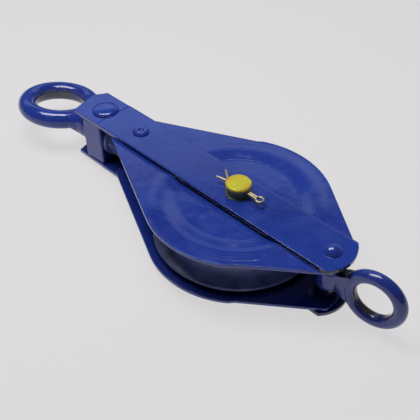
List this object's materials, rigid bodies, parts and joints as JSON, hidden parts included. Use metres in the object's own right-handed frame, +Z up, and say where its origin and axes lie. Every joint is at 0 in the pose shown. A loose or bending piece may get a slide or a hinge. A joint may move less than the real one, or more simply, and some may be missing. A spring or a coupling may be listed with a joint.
{
  "type": "pulley block",
  "caption": "Single sheave pulley block with pressed cheeks between flat straps, a swivel eye at its head and a becket eye at its tail.",
  "frame": {"origin": "centre of the sheave, on the axle's axis and half way between the straps", "axes": "+Z up along the axle towards its split pin, -X towards the swivel eye and +X towards the becket eye"},
  "size_m": [0.4358, 0.153, 0.0652],
  "materials": {
    "blue_paint": "gloss",
    "sheave_dark": "satin",
    "zinc_yellow": "satin",
    "split_pin_steel": "satin",
    "bronze": "satin",
    "plain_steel": "satin"
  },
  "bodies": {
    "frame": {"strap_upper": "blue_paint", "strap_lower": "blue_paint", "cheek_upper": "blue_paint", "cheek_lower": "blue_paint", "axle_pin": "zinc_yellow", "axle_split_pin": "split_pin_steel", "thrust_washer_upper": "bronze", "thrust_washer_lower": "bronze", "head_spacer": "blue_paint", "spacer_rivet": "blue_paint", "tail_sleeve": "plain_steel", "tail_spacer_upper": "blue_paint", "tail_spacer_lower": "blue_paint", "tail_rivet": "blue_paint"},
    "sheave_wheel": {"sheave": "sheave_dark", "sheave_bush": "bronze"},
    "crosshead": {"crosshead": "blue_paint"},
    "eye": {"swivel_eye": "blue_paint", "eye_washer": "plain_steel", "eye_nut": "plain_steel", "nut_lock_pin": "plain_steel"},
    "becket": {"becket_eye": "blue_paint"}
  },
  "joints": [
    {"name": "sheave_spin", "type": "hinge", "parent": "frame", "child": "sheave_wheel", "pos_m": [0, 0, 0], "axis": [0, 0, 1], "continuous": true},
    {"name": "crosshead_tilt", "type": "hinge", "parent": "frame", "child": "crosshead", "pos_m": [-0.1667, 0, 0], "axis": [0, 0, 1], "range_deg": [-93.2, 86.8]},
    {"name": "eye_swivel", "type": "hinge", "parent": "crosshead", "child": "eye", "pos_m": [-0.1667, 0, 0], "axis": [0.9984, 0.0558, 0], "continuous": true},
    {"name": "becket_swing", "type": "hinge", "parent": "frame", "child": "becket", "pos_m": [0.093, 0, 0], "axis": [0, 0, 1], "range_deg": [-70.2, 59.8]}
  ]
}
